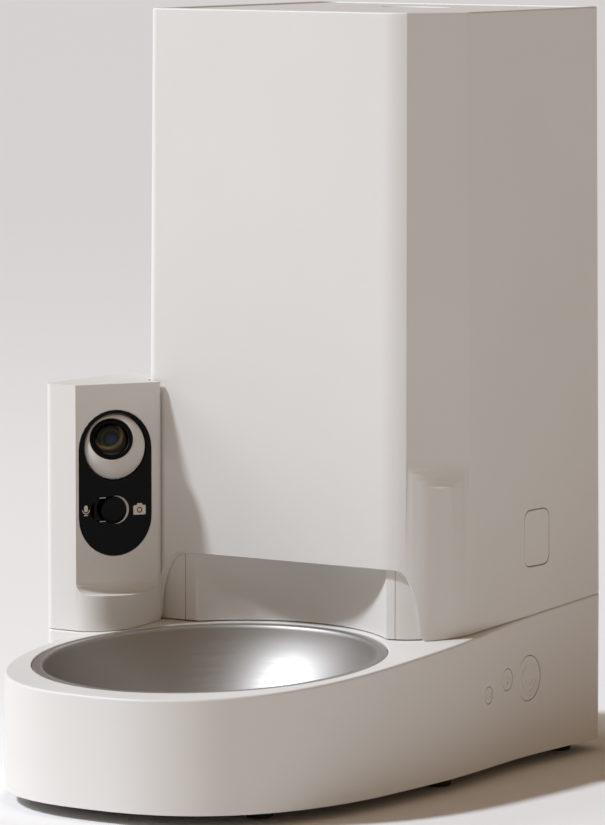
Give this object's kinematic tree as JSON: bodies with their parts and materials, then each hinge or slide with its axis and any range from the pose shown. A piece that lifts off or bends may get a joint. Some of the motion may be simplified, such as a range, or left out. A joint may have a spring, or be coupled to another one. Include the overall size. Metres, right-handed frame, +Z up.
{
  "type": "automatic pet feeder",
  "caption": "Dry-food dispenser for pets with a tall hopper, a steel bowl in a rounded base, a motor-driven rotor, and a pan-tilt camera ball in a side tower.",
  "frame": {"origin": "on the floor, under the middle of the footprint's bounding box", "axes": "+Z up; -Y the way the bowl and the front face; +X to the right of the front as seen from the front"},
  "size_m": [0.211, 0.3216, 0.371],
  "materials": {
    "white_abs": "satin warm white",
    "grey_abs": "matt grey",
    "acetal": "satin natural",
    "clear_tank": "smoky translucent",
    "black_gloss": "polished black",
    "dark_lens": "coated lens",
    "brushed_steel": "satin",
    "plated_steel": "plated",
    "cell_jacket": "wrapped cell",
    "soft_rubber": "matt",
    "board_green": "solder mask"
  },
  "bodies": {
    "base": {"base_shell": "white_abs", "base_bottom_cover": "grey_abs", "rubber_foot_1": "soft_rubber", "rubber_foot_2": "soft_rubber", "rubber_foot_3": "soft_rubber", "rubber_foot_4": "soft_rubber", "rubber_foot_5": "soft_rubber", "rubber_foot_6": "soft_rubber", "cover_screw_1": "plated_steel", "cover_screw_2": "plated_steel", "cover_screw_3": "plated_steel", "cover_screw_4": "plated_steel", "main_board": "board_green", "battery_tray": "grey_abs", "battery_cell_1": "cell_jacket", "battery_cell_2": "cell_jacket", "battery_cell_3": "cell_jacket", "speaker": "plated_steel", "power_socket": "black_gloss", "button_board": "board_green", "tower_shell": "white_abs", "camera_window": "black_gloss", "camera_shelf": "grey_abs", "pan_motor": "plated_steel", "tower_board": "board_green"},
    "battery_door": {"battery_door": "white_abs"},
    "bowl": {"steel_bowl": "brushed_steel"},
    "feed_button": {"feed_button": "white_abs"},
    "wifi_button": {"wifi_button": "white_abs"},
    "reset_button": {"reset_button": "white_abs"},
    "mode_switch": {"mode_switch": "black_gloss"},
    "pan_arm": {"camera_pan_arm": "grey_abs"},
    "camera": {"camera_ball": "white_abs", "lens_bezel": "black_gloss", "lens_glass": "dark_lens", "lens_barrel": "grey_abs"},
    "upper": {"body_shell": "white_abs", "opening_frame": "white_abs", "outlet_liner": "white_abs", "chute": "acetal", "chassis_plate": "grey_abs", "hopper_tank": "clear_tank", "rotor_housing": "acetal", "gearbox_case": "grey_abs", "gear_motor": "plated_steel", "food_sensor_right": "black_gloss", "food_sensor_left": "black_gloss"},
    "rotor": {"dispensing_rotor": "soft_rubber", "rotor_shaft": "plated_steel", "drive_gear": "acetal", "hopper_agitator": "acetal"},
    "pinion": {"motor_pinion": "acetal"},
    "release_button_right": {"release_button_right": "white_abs"},
    "release_button_left": {"release_button_left": "white_abs"},
    "lid": {"hopper_lid": "white_abs", "lid_seal": "soft_rubber", "desiccant_box": "acetal"},
    "desiccant_cover": {"desiccant_cover": "acetal"}
  },
  "joints": [
    {"name": "battery_door_hinge", "type": "hinge", "parent": "base", "child": "battery_door", "pos_m": [0.0115, 0.1595, 0.01565], "axis": [-1, 0, 0], "range_deg": [0, 90]},
    {"name": "bowl_lift", "type": "slide", "parent": "base", "child": "bowl", "axis": [0, -0.0637, 0.998], "range_m": [0, 0.032]},
    {"name": "feed_button_press", "type": "slide", "parent": "base", "child": "feed_button", "axis": [-0.9991, -0.0433, 0], "range_m": [0, 0.001], "stiffness_N_per_m": 600, "springref_m": -0.0008},
    {"name": "wifi_button_press", "type": "slide", "parent": "base", "child": "wifi_button", "axis": [-0.9952, -0.0981, 0], "range_m": [0, 0.001], "stiffness_N_per_m": 600, "springref_m": -0.0008},
    {"name": "reset_button_press", "type": "slide", "parent": "base", "child": "reset_button", "axis": [-0.9937, -0.112, 0], "range_m": [0, 0.001], "stiffness_N_per_m": 600, "springref_m": -0.0008},
    {"name": "mode_switch_slide", "type": "slide", "parent": "base", "child": "mode_switch", "axis": [-0.5, -0.866, 0], "range_m": [0, 0.006]},
    {"name": "camera_pan", "type": "hinge", "parent": "base", "child": "pan_arm", "pos_m": [-0.07973, -0.01699, 0.157], "axis": [0, 0, 1], "range_deg": [-20, 38]},
    {"name": "camera_tilt", "type": "hinge", "parent": "pan_arm", "child": "camera", "pos_m": [-0.07973, -0.01699, 0.157], "axis": [-0.7965, -0.6046, 0], "range_deg": [-42, 8]},
    {"name": "upper_lift", "type": "slide", "parent": "base", "child": "upper", "axis": [0, 0, 1], "range_m": [0, 0.12]},
    {"name": "release_right_press", "type": "slide", "parent": "upper", "child": "release_button_right", "axis": [-1, 0, 0], "range_m": [0, 0.003], "stiffness_N_per_m": 800, "springref_m": -0.0015},
    {"name": "release_left_press", "type": "slide", "parent": "upper", "child": "release_button_left", "axis": [1, 0, 0], "range_m": [0, 0.003], "stiffness_N_per_m": 800, "springref_m": -0.0015},
    {"name": "rotor_spin", "type": "hinge", "parent": "upper", "child": "rotor", "pos_m": [0.0115, 0.08625, 0.135], "axis": [0, 0, 1], "continuous": true},
    {"name": "pinion_spin", "type": "hinge", "parent": "upper", "child": "pinion", "pos_m": [0.0115, 0.12255, 0.127], "axis": [0, 0, 1], "continuous": true},
    {"name": "lid_lift", "type": "slide", "parent": "upper", "child": "lid", "axis": [0, 0, 1], "range_m": [0, 0.06]},
    {"name": "desiccant_twist", "type": "hinge", "parent": "lid", "child": "desiccant_cover", "pos_m": [0.0115, 0.08625, 0.347], "axis": [0, 0, 1], "range_deg": [0, 30]}
  ],
  "couplings": [
    {"joint": "pinion_spin", "follows": "rotor_spin", "ratio": -3}
  ]
}
